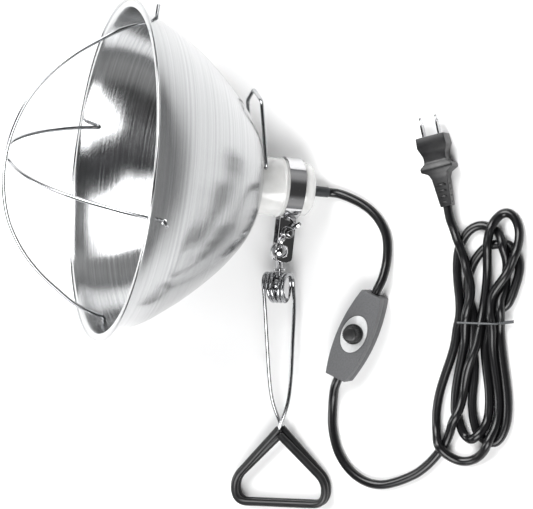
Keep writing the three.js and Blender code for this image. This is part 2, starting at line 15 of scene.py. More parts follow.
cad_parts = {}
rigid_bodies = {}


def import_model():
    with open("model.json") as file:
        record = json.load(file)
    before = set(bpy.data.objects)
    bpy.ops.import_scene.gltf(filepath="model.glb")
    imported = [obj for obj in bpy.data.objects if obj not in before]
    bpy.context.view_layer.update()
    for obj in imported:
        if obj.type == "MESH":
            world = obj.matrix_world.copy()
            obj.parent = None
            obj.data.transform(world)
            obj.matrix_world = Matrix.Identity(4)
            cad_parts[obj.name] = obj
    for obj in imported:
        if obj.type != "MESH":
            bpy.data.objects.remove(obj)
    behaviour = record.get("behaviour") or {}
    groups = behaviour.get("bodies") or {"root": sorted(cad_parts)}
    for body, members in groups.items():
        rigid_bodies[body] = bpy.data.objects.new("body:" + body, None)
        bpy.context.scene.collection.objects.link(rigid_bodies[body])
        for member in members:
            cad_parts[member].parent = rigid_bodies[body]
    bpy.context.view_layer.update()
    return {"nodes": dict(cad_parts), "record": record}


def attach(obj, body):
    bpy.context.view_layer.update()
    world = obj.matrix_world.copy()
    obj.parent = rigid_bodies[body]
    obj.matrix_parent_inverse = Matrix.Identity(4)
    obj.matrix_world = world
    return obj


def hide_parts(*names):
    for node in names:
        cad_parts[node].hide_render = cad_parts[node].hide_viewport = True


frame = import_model()
MM = 0.001
TO_MM = Matrix.Scale(1 / MM, 4)
FROM_MM = Matrix.Scale(MM, 4)
RECORD = frame["record"]
JOINTS = {j["name"]: j for j in RECORD["behaviour"]["joints"]}
MOUNTS = {m["name"]: m for m in RECORD["mounts"]}
UP = Vector((0, 0, 1))
QUARTER = math.pi / 2
FULL = 2 * math.pi


# ---------- frames of the sub-assemblies, from joints and mounts ----------
def axes_at(x, y, z, origin=(0, 0, 0)):
    """Matrix in metres for a mesh in millimetres, with the given axes."""
    m = Matrix((x, y, z)).transposed().to_4x4()
    m.translation = origin
    return m @ FROM_MM


def pin(matrix, spot, place):
    """The matrix, moved so that its local point `spot` lies at `place`."""
    matrix.translation = place - matrix.to_3x3() @ Vector(spot)
    return matrix


def joint_axis(name):
    return Vector(JOINTS[name]["axis"]).normalized()


def joint_at(name):
    return Vector(JOINTS[name]["pos_m"])


# The lamp's Z runs from the bell's rim to the cord, and its Y along the bolt between the ears.
NUT_SPOT = Vector((-34.5, 10, 143.5))     # wing nut and ball centre in the lamp's frame
BALL_SPOT = Vector((-49.7, 0, 141))
lamp_up = joint_axis("nut_turn")
nut_step = NUT_SPOT - BALL_SPOT
across = joint_at("nut_turn") - joint_at("clamp_tilt") - lamp_up * nut_step.y * MM
lamp_side = (across * nut_step.x + lamp_up.cross(across) * nut_step.z).normalized()
LAMP = pin(axes_at(lamp_side, lamp_up, lamp_side.cross(lamp_up)), NUT_SPOT, joint_at("nut_turn"))

# The clamp's origin is the ball's centre, and its Y runs from the jaws towards the ball.
clamp_x = -joint_axis("upper_arm_spread")
clamp_y = -joint_axis("clamp_swivel")
CLAMP = axes_at(clamp_x, clamp_y, clamp_x.cross(clamp_y), joint_at("clamp_swivel"))

# The dimmer lies with its length along its own Y, its underside at 0 and its middle at the origin.
DIMMER_YAW = math.radians(-24.8)
DIMMER_HALF = 36                          # half its length
DIMMER_TOP = 20
DIAL_Y = 1.5                              # middle of dial and knob
DIMMER = pin(Matrix.Rotation(DIMMER_YAW, 4, "Z") @ FROM_MM, (0, DIAL_Y, DIMMER_TOP),
             joint_at("knob_turn"))

# The plug's Y runs from its tail to the face that the blades stand out of.
PLUG_LENGTH = 56
plug_y = Vector(MOUNTS["plug_face"]["axis"]).normalized()
PLUG = pin(axes_at(plug_y.cross(UP), plug_y, UP), (0, PLUG_LENGTH, 0),
           Vector(MOUNTS["plug_face"]["pos_m"]))


# ---------- mesh helpers ----------
def add_object(name, data, matrix, material, body):
    """Object in millimetres along the frame's own axes, so that its box is a tight one."""
    data.transform(TO_MM @ matrix)
    obj = bpy.data.objects.new(name, data)
    bpy.context.scene.collection.objects.link(obj)
    obj.matrix_world = FROM_MM
    data.materials.append(material)
    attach(obj, body)
    return obj


def label(obj, slot, *nodes):
    """Hides the CAD nodes that a piece stands in for. The slot is not used."""
    if nodes:
        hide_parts(*nodes)


def shade_smooth(mesh):
    for p in mesh.polygons:
        p.use_smooth = True


def mesh_from(name, verts, faces):
    mesh = bpy.data.meshes.new(name)
    mesh.from_pydata([tuple(v) for v in verts], [], faces)
    bm = bmesh.new()
    bm.from_mesh(mesh)
    bmesh.ops.remove_doubles(bm, verts=bm.verts, dist=1e-4)
    bmesh.ops.recalc_face_normals(bm, faces=bm.faces)
    bm.to_mesh(mesh)
    bm.free()
    shade_smooth(mesh)
    return mesh


def lathe(name, profile, matrix, material, body, segments=128, sharp=35):
    """Solid turned about the local Z axis from [z, r] pairs that close on themselves."""
    verts = []
    for k in range(segments):
        t = FULL * k / segments
        verts += [(r * math.cos(t), r * math.sin(t), z) for z, r in profile]
    n = len(profile)
    faces = []
    for k in range(segments):
        a, b = k * n, ((k + 1) % segments) * n
        faces += [(a + i, b + i, b + (i + 1) % n, a + (i + 1) % n) for i in range(n)]
    obj = add_object(name, mesh_from(name, verts, faces), matrix, material, body)
    soften(obj, sharp)
    return obj


def soften(obj, angle):
    """Smooth shading, apart from edges sharper than `angle` in degrees."""
    limit = math.radians(angle)
    bm = bmesh.new()
    bm.from_mesh(obj.data)
    for e in bm.edges:
        e.smooth = len(e.link_faces) == 2 and e.calc_face_angle(0) < limit
    bm.to_mesh(obj.data)
    bm.free()


def bevel(obj, width, segments, angle):
    """Rounds the edges sharper than `angle` in degrees."""
    mod = obj.modifiers.new("edge", "BEVEL")
    mod.width = width
    mod.segments = segments
    mod.limit_method = "ANGLE"
    mod.angle_limit = math.radians(angle)
    apply_modifiers(obj)


def apply_modifiers(obj):
    graph = bpy.context.evaluated_depsgraph_get()
    fresh = bpy.data.meshes.new_from_object(obj.evaluated_get(graph))
    old = obj.data
    obj.modifiers.clear()
    obj.data = fresh
    fresh.name = old.name
    bpy.data.meshes.remove(old)


def cut_hole(obj, matrix, radius, depth, segments=24):
    """Cylinder about the matrix's Z axis that apply_cuts takes out of the object."""
    bm = bmesh.new()
    bmesh.ops.create_cone(bm, cap_ends=True, segments=segments, radius1=radius, radius2=radius,
                          depth=depth)
    mesh = bpy.data.meshes.new("cutter")
    bm.to_mesh(mesh)
    bm.free()
    cutter = bpy.data.objects.new("cutter", mesh)
    bpy.context.scene.collection.objects.link(cutter)
    cutter.matrix_world = matrix
    mod = obj.modifiers.new("hole", "BOOLEAN")
    mod.object = cutter
    mod.operation = "DIFFERENCE"
    mod.solver = "EXACT"


def apply_cuts(obj):
    apply_modifiers(obj)
    for cutter in [o for o in bpy.data.objects if o.name.startswith("cutter")]:
        bpy.data.objects.remove(cutter)


def spline(points, spacing):
    """Centripetal Catmull-Rom curve through points, resampled evenly."""
    samples = 16
    p = np.array(points, float)
    p = np.vstack([2 * p[0] - p[1], p, 2 * p[-1] - p[-2]])
    dense = []
    for i in range(1, len(p) - 2):
        p0, p1, p2, p3 = p[i - 1:i + 3]
        t1 = np.linalg.norm(p1 - p0) ** 0.5
        t2 = t1 + np.linalg.norm(p2 - p1) ** 0.5
        t3 = t2 + np.linalg.norm(p3 - p2) ** 0.5
        for t in np.linspace(t1, t2, samples, endpoint=False):
            a1 = (t1 - t) / t1 * p0 + t / t1 * p1
            a2 = (t2 - t) / (t2 - t1) * p1 + (t - t1) / (t2 - t1) * p2
            a3 = (t3 - t) / (t3 - t2) * p2 + (t - t2) / (t3 - t2) * p3
            b1 = (t2 - t) / t2 * a1 + t / t2 * a2
            b2 = (t3 - t) / (t3 - t1) * a2 + (t - t1) / (t3 - t1) * a3
            dense.append((t2 - t) / (t2 - t1) * b1 + (t - t1) / (t2 - t1) * b2)
    dense.append(p[-2])
    return even(np.array(dense), spacing)


def even(points, spacing):
    """The same path with its points evenly spaced."""
    steps = np.linalg.norm(np.diff(points, axis=0), axis=1)
    along = np.concatenate([[0], np.cumsum(steps)])
    count = max(2, int(round(along[-1] / spacing)) + 1)
    at = np.linspace(0, along[-1], count)
    return np.stack([np.interp(at, along, points[:, k]) for k in range(3)], axis=1)


def rounded(points, trim, spacing):
    """Straight runs joined by corners that are rounded from `trim` before each."""
    corner_steps = 12
    pts = [Vector(p) for p in points]
    path = [pts[0]]
    for a, b, c in zip(pts, pts[1:], pts[2:]):
        start = b + (a - b).normalized() * trim
        end = b + (c - b).normalized() * trim
        for k in range(corner_steps + 1):
            t = k / corner_steps
            path.append((1 - t) ** 2 * start + 2 * t * (1 - t) * b + t * t * end)
    path.append(pts[-1])
    return even(np.array([tuple(p) for p in path]), spacing)


def wire(name, points, radius, matrix, material, body, sides=6):
    """Round wire with closed ends along points, as a curve object."""
    curve = bpy.data.curves.new(name, "CURVE")
    curve.dimensions = "3D"
    curve.bevel_depth = radius
    curve.bevel_resolution = sides
    curve.use_fill_caps = True
    line = curve.splines.new("POLY")
    line.points.add(len(points) - 1)
    for point, co in zip(line.points, points):
        point.co = (*co, 1)
    line.use_smooth = True
    return add_object(name, curve, matrix, material, body)


def refined(node, name, material, slot, body, width=0.25, segments=3, angle=30):
    """Copy of a CAD node with rounded edges, standing in for it."""
    mesh = frame["nodes"][node].data.copy()
    mesh.name = name
    mesh.materials.clear()
    mesh.transform(TO_MM)
    bm = bmesh.new()
    bm.from_mesh(mesh)
    bmesh.ops.remove_doubles(bm, verts=bm.verts, dist=1e-3)
    bmesh.ops.dissolve_limit(bm, angle_limit=0.01, verts=bm.verts, edges=bm.edges)
    bmesh.ops.recalc_face_normals(bm, faces=bm.faces)
    bm.to_mesh(mesh)
    bm.free()
    obj = add_object(name, mesh, FROM_MM, material, body)
    bevel(obj, width, segments, angle)
    shade_smooth(obj.data)
    soften(obj, 40)
    label(obj, slot, node)
    return obj


# ---------- materials ----------
def shader(name, color, roughness, metallic=0.0, **extra):
    mat = bpy.data.materials.new(name)
    mat.use_nodes = True
    node = mat.node_tree.nodes["Principled BSDF"]
    node.inputs["Base Color"].default_value = (*color, 1)
    node.inputs["Roughness"].default_value = roughness
    node.inputs["Metallic"].default_value = metallic
    for key, value in extra.items():
        node.inputs[key.replace("_", " ")].default_value = value
    return mat, mat.node_tree, node


def link(tree, a, out, b, into):
    tree.links.new(a.outputs[out], b.inputs[into])


def noise(tree, scale, detail=4.0, roughness=0.55):
    """Noise over the object's own millimetres."""
    coord = tree.nodes.new("ShaderNodeTexCoord")
    tex = tree.nodes.new("ShaderNodeTexNoise")
    tex.inputs["Scale"].default_value = scale
    tex.inputs["Detail"].default_value = detail
    tex.inputs["Roughness"].default_value = roughness
    link(tree, coord, "Object", tex, "Vector")
    return tex


def rings(tree, scale):
    """Noise that changes only with the distance along the spinning axis."""
    where = tree.nodes.new("ShaderNodeAttribute")
    where.attribute_name = "along"
    tex = tree.nodes.new("ShaderNodeTexNoise")
    tex.noise_dimensions = "1D"
    tex.inputs["Scale"].default_value = scale
    tex.inputs["Detail"].default_value = 6
    tex.inputs["Roughness"].default_value = 0.7
    link(tree, where, "Fac", tex, "W")
    return tex


def ramp_to(tree, source, low, high, node, into):
    """Drives an input from the source, stretched to run from `low` to `high`."""
    ramp = tree.nodes.new("ShaderNodeValToRGB")
    for stop, position, value in zip(ramp.color_ramp.elements, (0.3, 0.7), (low, high)):
        stop.position = position
        stop.color = (*value, 1) if isinstance(value, tuple) else (value, value, value, 1)
    link(tree, source, 0, ramp, 0)
    link(tree, ramp, 0, node, into)


def bump(tree, source, node, strength, distance):
    b = tree.nodes.new("ShaderNodeBump")
    b.inputs["Strength"].default_value = strength
    b.inputs["Distance"].default_value = distance
    link(tree, source, 0, b, "Height")
    link(tree, b, "Normal", node, "Normal")


def mark_spin(obj):
    """Distance along the lamp's axis and direction around it, for the spun metal's grain."""
    local = (TO_MM @ LAMP).inverted()
    back = local.to_3x3().inverted()
    along = obj.data.attributes.new("along", "FLOAT", "POINT")
    around = obj.data.attributes.new("around", "FLOAT_VECTOR", "POINT")
    for i, v in enumerate(obj.data.vertices):
        p = local @ v.co
        along.data[i].value = p.z
        around.data[i].vector = (back @ Vector((-p.y, p.x, 0))).normalized()


def spun_aluminium():
    """Metal with fine turning marks, which stretch its reflections across them."""
    mat, tree, node = shader("spun_aluminium", (0.46, 0.465, 0.47), 0.2, 1.0,
                             Anisotropic=0.7, Anisotropic_Rotation=0.25)
    around = tree.nodes.new("ShaderNodeAttribute")
    around.attribute_name = "around"
    link(tree, around, "Vector", node, "Tangent")
    bump(tree, rings(tree, 1.6), node, 0.25, 0.00012)
    ramp_to(tree, rings(tree, 0.7), 0.13, 0.25, node, "Roughness")
    ramp_to(tree, rings(tree, 0.5), (0.36, 0.365, 0.37), (0.5, 0.505, 0.51), node, "Base Color")
    return mat


def plated(name, color, low, high, scale):
    """Plated metal whose roughness wanders between `low` and `high`."""
    mat, tree, node = shader(name, color, low, 1.0)
    ramp_to(tree, noise(tree, scale), low, high, node, "Roughness")
    bump(tree, noise(tree, scale * 2), node, 0.06, 0.0002)
    return mat


def porcelain():
    mat, tree, node = shader("glazed_porcelain", (0.72, 0.72, 0.71), 0.16,
                             Coat_Weight=0.6, Coat_Roughness=0.06, Subsurface_Weight=0.08,
                             Subsurface_Radius=(0.003, 0.0028, 0.0025))
    ramp_to(tree, noise(tree, 0.09, 3), (0.62, 0.62, 0.61), (0.7, 0.7, 0.69), node, "Base Color")
    bump(tree, noise(tree, 0.5, 3), node, 0.12, 0.0003)
    return mat


def black(name, base, low, high, grain, depth):
    """Dark plastic or rubber with a fine grain and slow changes of sheen and colour."""
    mat, tree, node = shader(name, base, low, Specular_IOR_Level=0.45)
    bump(tree, noise(tree, grain, 6, 0.6), node, 0.4, depth)
    ramp_to(tree, noise(tree, grain * 0.12), low, high, node, "Roughness")
    lighter = tuple(c * 1.5 for c in base)
    ramp_to(tree, noise(tree, grain * 0.3), base, lighter, node, "Base Color")
    return mat


def flat_plastic(name, base, roughness, grain):
    mat, tree, node = shader(name, base, roughness)
    bump(tree, noise(tree, grain), node, 0.2, 0.0001)
    darker = tuple(c * 0.85 for c in base)
    ramp_to(tree, noise(tree, grain * 0.2), darker, base, node, "Base Color")
    return mat


ALUMINIUM = spun_aluminium()
WIRE = plated("plated_wire", (0.4, 0.405, 0.415), 0.08, 0.18, 0.6)
CHROME = plated("chrome", (0.58, 0.58, 0.59), 0.04, 0.1, 0.4)
BRASS = plated("brass", (0.78, 0.6, 0.28), 0.2, 0.4, 0.6)
PORCELAIN = porcelain()
VINYL = black("vinyl", (0.006, 0.006, 0.0065), 0.3, 0.42, 1.2, 0.0001)
JACKET = black("cord_jacket", (0.004, 0.004, 0.0045), 0.2, 0.3, 900, 0.00003)   # too fine to see
PLASTIC = black("moulded_plastic", (0.07, 0.071, 0.074), 0.45, 0.6, 3.0, 0.00012)
RELIEF = black("grey_sleeve", (0.022, 0.0235, 0.026), 0.4, 0.55, 1.5, 0.0001)
DIAL = flat_plastic("dial_grey", (0.55, 0.555, 0.56), 0.35, 2.0)
BOARD = flat_plastic("circuit_board", (0.05, 0.2, 0.08), 0.5, 1.0)
TIE = flat_plastic("tie_wire", (0.1, 0.105, 0.11), 0.45, 1.5)


# ---------- camera, floor and light, in metres ----------
VIEW_TILT = math.radians(20.5)            # off the vertical
VIEW_RANGE = 2.3
AIM = Vector((0.057, 0.00135, 0))
SENSOR = 36                               # millimetres, as is the lens
LENS = 194.8519
FLOOR_HALF = 4.0
SKY_LOW = (0.3, 0.305, 0.31, 1)           # the world's colour at the horizon and straight up
SKY_HIGH = (0.03, 0.03, 0.033, 1)
SKY = ((0.2, 0.5), (0.4, 0.4), (0.52, 0.08), (0.75, 0.04))   # brightness by height of the ray
LIGHTS = (                                # name, place, aim, width, height, watts, spread
    ("far_box", (-0.6, 1.1, 1.6), (0, 0, 0), 1.7, 1.7, 17, 75),
    ("near_box", (0.5, -1.2, 1.5), (0, 0, 0), 1.5, 1.5, 10.5, 75),
    ("left_strip", (-1.7, -0.2, 0.9), (0, 0, 0.1), 0.35, 1.5, 12, 180),
)


def add_camera():
    data = bpy.data.cameras.new("camera")
    data.sensor_width = SENSOR
    data.lens = LENS
    data.clip_end = 20
    cam = bpy.data.objects.new("camera", data)
    bpy.context.scene.collection.objects.link(cam)
    cam.matrix_world = (Matrix.Translation(AIM) @ Matrix.Rotation(VIEW_TILT, 4, "Y")
                        @ Matrix.Translation((0, 0, VIEW_RANGE)))
    bpy.context.scene.camera = cam


def add_light(name, at, aim, width, height, power, spread):
    data = bpy.data.lights.new(name, "AREA")
    data.energy = power
    data.shape = "RECTANGLE"
    data.size = width
    data.size_y = height
    data.spread = math.radians(spread)
    obj = bpy.data.objects.new(name, data)
    bpy.context.scene.collection.objects.link(obj)
    obj.location = at
    obj.rotation_euler = (Vector(aim) - Vector(at)).to_track_quat("-Z", "Y").to_euler()


def add_floor():
    mesh = bpy.data.meshes.new("floor")
    s = FLOOR_HALF
    mesh.from_pydata([(-s, -s, 0), (s, -s, 0), (s, s, 0), (-s, s, 0)], [], [(0, 1, 2, 3)])
    floor = bpy.data.objects.new("floor", mesh)
    bpy.context.scene.collection.objects.link(floor)
    mesh.materials.append(shader("floor_white", (0.9, 0.9, 0.9), 0.7)[0])


def add_world():
    """Surroundings that the metal mirrors: bright near the horizon, dark above."""
    world = bpy.data.worlds.new("world")
    bpy.context.scene.world = world
    world.use_nodes = True
    tree = world.node_tree
    where = tree.nodes.new("ShaderNodeTexCoord")
    split = tree.nodes.new("ShaderNodeSeparateXYZ")
    ramp = tree.nodes.new("ShaderNodeValToRGB")
    link(tree, where, "Generated", split, "Vector")
    link(tree, split, "Z", ramp, "Fac")
    link(tree, ramp, "Color", tree.nodes["Background"], "Color")
    stops = ramp.color_ramp.elements
    stops[0].position, stops[0].color = 0.0, SKY_LOW
    stops[1].position, stops[1].color = 1.0, SKY_HIGH
    for height, shade in SKY:
        stops.new(height).color = (shade, shade, shade, 1)


def add_studio():
    add_floor()
    add_world()
    for row in LIGHTS:
        add_light(*row)
    bpy.context.scene.view_settings.view_transform = "Standard"


add_camera()

# ---------- cord routes, in millimetres on the floor plan ----------
PLAN = Vector((57, 1.35, 0))              # from the plan's origin to the frame's
CORD_D = 7.2
CORD_SIDES = 9
SLEEVE_END = 176                          # end of the grey sleeve in the lamp's frame
DIMMER_MOUTH = 40                         # where each cord goes in, and where it stops inside
DIMMER_END = 34.5
CORD_LAMP = [
    (61, 48.2, 3.75), (67, 46.4, 3.75), (73, 44, 3.75), (82, 39.5, 3.7), (90, 33.5, 3.7),
    (97, 25, 3.7), (101.5, 15, 3.7), (102.6, 4, 3.8), (102, -7, 4.8), (100, -19, 8.6),
]
CORD_FLOOR = [
    (60.6, -104.5, 8.6), (58.2, -113, 5.2), (57, -123, 3.8), (56.8, -134, 3.7), (58.5, -145, 3.7),
    (62, -156, 3.7), (69, -167, 3.7), (78, -175, 3.7), (88, -179.5, 3.7), (98, -180.5, 3.7),
    (108, -178.5, 3.7), (119, -174.5, 3.7), (129, -169.5, 3.7), (138, -164.2, 3.7),
]
# The folded hank: seven strands through the tie, three arches above and three loops below it.
HANK = [
    (146, -157, 3.7), (153, -144, 5), (160, -131, 9), (166, -112, 13), (170, -94, 14),
    (174, -76, 13), (178.5, -53, 11),
    (183, -38, 14), (184.5, -18, 16), (184.5, 2, 17), (184.5, 18, 15), (188, 31, 9),
    (195, 40, 5), (204, 42, 4), (210, 34, 5), (212.5, 20, 10), (211, 4, 13), (205, -11, 15),
    (196, -26, 15), (188, -40, 13), (186, -53, 11),
    (188.5, -70, 11), (194, -92, 9), (198, -112, 8), (197, -131, 9), (189, -149, 10),
    (177, -163, 6), (162, -167.5, 3.7), (149, -160, 10), (142, -146, 7), (140, -129, 3.8),
    (142, -112, 3.8), (150, -91, 3.8), (160, -72, 3.8), (167, -53, 3.8),
    (164.5, -38, 3.8), (159, -20, 3.8), (157, -2, 5), (159, 13, 4), (165, 24, 3.8),
    (176, 30, 3.8), (189, 29, 7), (198, 20, 9), (203, 6, 10), (203, -12, 8), (198, -30, 5),
    (191, -43, 4), (189.5, -53, 3.8),
    (191, -70, 3.8), (194, -90, 3.8), (199.5, -115, 3.8), (200, -134, 3.8), (196, -149, 3.8),
    (187, -156, 4), (177, -150, 4.5), (171, -136, 3.8), (169.5, -118, 3.8), (171, -95, 3.8),
    (174, -74, 3.8), (174.5, -53, 3.8),
    (169, -38, 3.8), (164.5, -22, 5), (167, -8, 5), (175, 5, 4), (187, 13.5, 5), (200, 14, 4),
    (211, 9, 4), (216.5, -3, 3.8), (212, -18, 3.8), (202, -30, 3.8), (190, -42, 3.8),
    (182, -53, 3.8),
    (181, -72, 3.8), (184.5, -95, 3.8), (187.5, -118, 3.8), (185, -139, 8), (174, -152, 9),
    (162, -149, 6), (156.5, -135, 6), (155.5, -117, 6), (158.5, -97, 6), (164, -77, 8),
    (171, -53, 10.8),
    (173, -36, 12), (172, -18, 12), (168, -3, 12), (162, 11, 11), (156.2, 24.6, 9),
    (153.9, 34.2, 9), (153.2, 38.6, 9),
]


def plan(points):
    return np.array([tuple(Vector(p) + PLAN) for p in points])


def settle(points, free_from, free_to):
    """Lift strands of one cord off each other and the floor, keeping the plan's shape."""
    rounds, sink, lift, smoothing = 260, 0.05, 1.6, 0.24
    neighbours, fade = 7, 6               # points that may touch, and points to ease over
    reach = CORD_D + 0.15
    lowest = CORD_D / 2 + 0.05
    p = points.copy()
    n = len(p)
    idx = np.arange(n)
    apart = np.abs(idx[:, None] - idx[None, :]) > neighbours
    free = np.zeros(n)
    free[free_from:free_to] = 1
    ease = np.clip(np.minimum(idx - free_from, free_to - 1 - idx) / fade, 0, 1) * free
    for _ in range(rounds):
        p[:, 2] -= sink * ease
        delta = p[:, None, :] - p[None, :, :]
        dist = np.linalg.norm(delta, axis=2) + np.eye(n)
        near = (dist < reach) & apart
        push = np.where(near, (reach - dist) / dist * 0.5, 0)[:, :, None] * delta
        push[:, :, 2] *= lift
        move = push.sum(axis=1) / np.maximum(1, near.sum(axis=1))[:, None]
        p += move * ease[:, None]
        mid = 0.5 * (p[:-2] + p[2:]) - p[1:-1]
        p[1:-1] += smoothing * mid * ease[1:-1, None] * np.array([0.4, 0.4, 1.0])
        p[:, 2] = np.maximum(p[:, 2], lowest)
    return p


def lamp_point(z):
    """Point on the lamp's axis, in the frame's millimetres."""
    return tuple((LAMP @ Vector((0, 0, z))) / MM)


def dimmer_point(y):
    """Point on the dimmer's middle line, in the frame's millimetres."""
    return tuple((DIMMER @ Vector((0, y, DIMMER_TOP / 2))) / MM)


def cord(name, path, *nodes):
    obj = wire(name, path, CORD_D / 2, FROM_MM, JACKET, "lamp", CORD_SIDES)
    label(obj, "cord_jacket", *nodes)
    return obj


def add_cords():
    coarse, fine = 4, 2                   # spacing of a path's points
    upper = spline([lamp_point(SLEEVE_END - 1), lamp_point(SLEEVE_END + 2.2), *plan(CORD_LAMP),
                    dimmer_point(DIMMER_MOUTH), dimmer_point(DIMMER_END)], fine)
    to_dimmer = cord("cord_to_dimmer", upper, "cord_lamp_side")

    before, after = 6, 3                  # points freed ahead of the hank, and held at the plug
    loose = spline([dimmer_point(-DIMMER_END), dimmer_point(-DIMMER_MOUTH), *plan(CORD_FLOOR),
                    *plan(HANK)], coarse)
    first = int(np.argmin(np.linalg.norm(loose - plan([HANK[0]])[0], axis=1))) - before
    lower = spline(settle(loose, first, len(loose) - after), fine)
    to_plug = cord("cord_to_plug", lower, "cord_plug_side", "cord_hank", "cord_tail")
    return to_dimmer, upper, to_plug, lower


# ---------- reflector ----------
BELL = [                                  # [z, r] of the outside, from the rim to the neck
    (0.6, 127), (12, 124), (31, 116), (45, 107), (59, 97), (75, 83.5), (88.5, 70.5), (99.5, 57.5),
    (104.5, 50.5), (108.6, 43), (111.3, 36), (113.8, 27),
]
WALL = (0.45, -0.95)                      # from the outside to the inside
HOLE_TURN = 15                            # degrees round to the first of the guard's four holes
HOLE_Z = 14
HOLE_R = 2.0


def add_reflector():
    outside = [tuple(q[:2]) for q in spline([(z, r, 0) for z, r in BELL], 1.5)]
    inside = [(z + WALL[0], r + WALL[1]) for z, r in reversed(outside[:-1])]
    curl = [math.radians(170 - 25 * k) for k in range(11)]
    bead = [(0.15 - math.sin(t), 132.4 + 1.1 * math.cos(t)) for t in curl]
    flare = [(0.9, 131.2), (0.8, 129.4), (0.75, 128)]
    neck = [(114.5, 24), (114.5, 18.9), (113.6, 18.9), (113.6, 24.2)]
    lip = [(0.1, 126.6), (-0.1, 129.4), (-0.1, 131)]
    obj = lathe("reflector_bell", bead + flare + outside + neck + inside + lip, LAMP, ALUMINIUM,
                "lamp", 224, 50)
    for k in range(4):
        turn = Matrix.Rotation(math.radians(HOLE_TURN + 90 * k), 4, "Z")
        hole = turn @ Matrix.Translation((122, 0, HOLE_Z)) @ Matrix.Rotation(QUARTER, 4, "Y")
        cut_hole(obj, LAMP @ hole, HOLE_R, 14)
    apply_cuts(obj)
    soften(obj, 50)
    mark_spin(obj)
    label(obj, "spun_aluminium", "reflector")


# ---------- guard and bail ----------
WIRE_R = 1.5
BOW = [(111, -10), (101, -25), (88, -42), (70, -59), (48, -72.5), (24, -80)]   # [r, z] of a half
BOW_TIP = -82                             # tip that BOW's points belong to
BOW_FOLLOWS = 0.8                         # share of another tip's offset that they take
BAIL_PIVOT = (14, 0, 117.2)               # middle between the bail's two holes


def add_guard():
    for name, node, angle, tip in (
            ("guard_bow_a", "guard_bow_outer", HOLE_TURN, -84.4),
            ("guard_bow_b", "guard_bow_inner", HOLE_TURN + 90, -81.2)):
        half = [(134, 0, HOLE_Z), (128, 0, HOLE_Z), (121.8, 0, 13.9), (119.4, 0, 12),
                (118.6, 0, 8)]
        half += [(r, 0, z + (tip - BOW_TIP) * BOW_FOLLOWS) for r, z in BOW]
        mirror = [(-x, y, z) for x, y, z in reversed(half)]
        path = spline(half + [(0, 0, tip)] + mirror, 1.6)
        turn = LAMP @ Matrix.Rotation(math.radians(angle), 4, "Z")
        label(wire(name, path, WIRE_R, turn, WIRE, "lamp"), "plated_wire", node)


def add_bail():
    half, hook, reach, peak, lean = 20.5, 7, 52, 9, math.radians(10.5)
    path = rounded([(0, half - hook, 0), (0, half, 0), (reach, half - 1, 0),
                    (reach + peak, 0, 0), (reach, 1 - half, 0), (0, -half, 0),
                    (0, hook - half, 0)], 3.6, 1)
    turn = LAMP @ Matrix.Translation(BAIL_PIVOT) @ Matrix.Rotation(lean, 4, "Y")
    label(wire("bail_wire", path, WIRE_R, turn, WIRE, "bail"), "plated_wire", "hanging_bail")


# ---------- socket ----------
def arc(z, r, radius, start, end):
    """[z, r] points of an arc about (z, r), between two angles in degrees."""
    steps = 6
    angles = [math.radians(start + (end - start) * k / steps) for k in range(steps + 1)]
    return [(z + radius * math.cos(t), r + radius * math.sin(t)) for t in angles]


def add_socket():
    body = [(106.2, 18.4), (114.8, 18.4)] + arc(116, 21.6, 1.2, 180, 90) + [(132.6, 22.8)]
    body += arc(134.6, 22.6, 1.1, 150, 30) + [(136.6, 22.8), (143.2, 22.8), (143.2, 12)]
    body += [(140.5, 12), (140.5, 14.6), (106.2, 14.6)]
    cap = [(143.5, 20.8), (150.4, 20.8), (151.2, 21.1), (154.5, 21.2), (157, 20.6),
           (158.9, 19.2), (160.2, 17), (161, 14), (161.4, 10), (161.5, 6), (161.3, 4.5),
           (158, 4.5), (158, 7), (155, 7), (155, 15), (143.5, 15)]
    ring = [(106.7, 18.8), (106.7, 22.5), (107.4, 23.8), (108.2, 24.5), (113.1, 24.5),
            (113.1, 18.8)]
    start, depth, waves, steps = 113, 21.6, 6, 72
    thread = [(start + depth * k / steps, 13.85 + 0.35 * math.cos(FULL * k * waves / steps))
              for k in range(steps + 1)]
    shell = thread + [(z, r - 0.4) for z, r in reversed(thread)]
    sleeve = [(155.4, 0.01), (155.4, 6.6), (157.6, 6.6), (157.7, 4.15), (172, 4.1),
              (175.5, 4.05), (SLEEVE_END, 3.8), (SLEEVE_END, 0.01)]
    for name, profile, material, segments, sharp, slot, node in (
            ("porcelain_body", body, PORCELAIN, 128, 35, "porcelain", "socket_body"),
            ("porcelain_cap", cap, PORCELAIN, 128, 40, "porcelain", "socket_cap"),
            ("porcelain_ring", ring, PORCELAIN, 128, 35, "porcelain", "retaining_ring"),
            ("brass_shell", shell, BRASS, 96, 60, "brass", "screw_shell"),
            ("cord_sleeve", sleeve, RELIEF, 64, 35, "vinyl", "strain_relief")):
        obj = lathe(name, profile, LAMP, material, "lamp", segments, sharp)
        label(obj, slot, node)


# ---------- band and ears ----------
BALL_HOLE_R = 5.3
BOLT_HOLE_R = 2.7


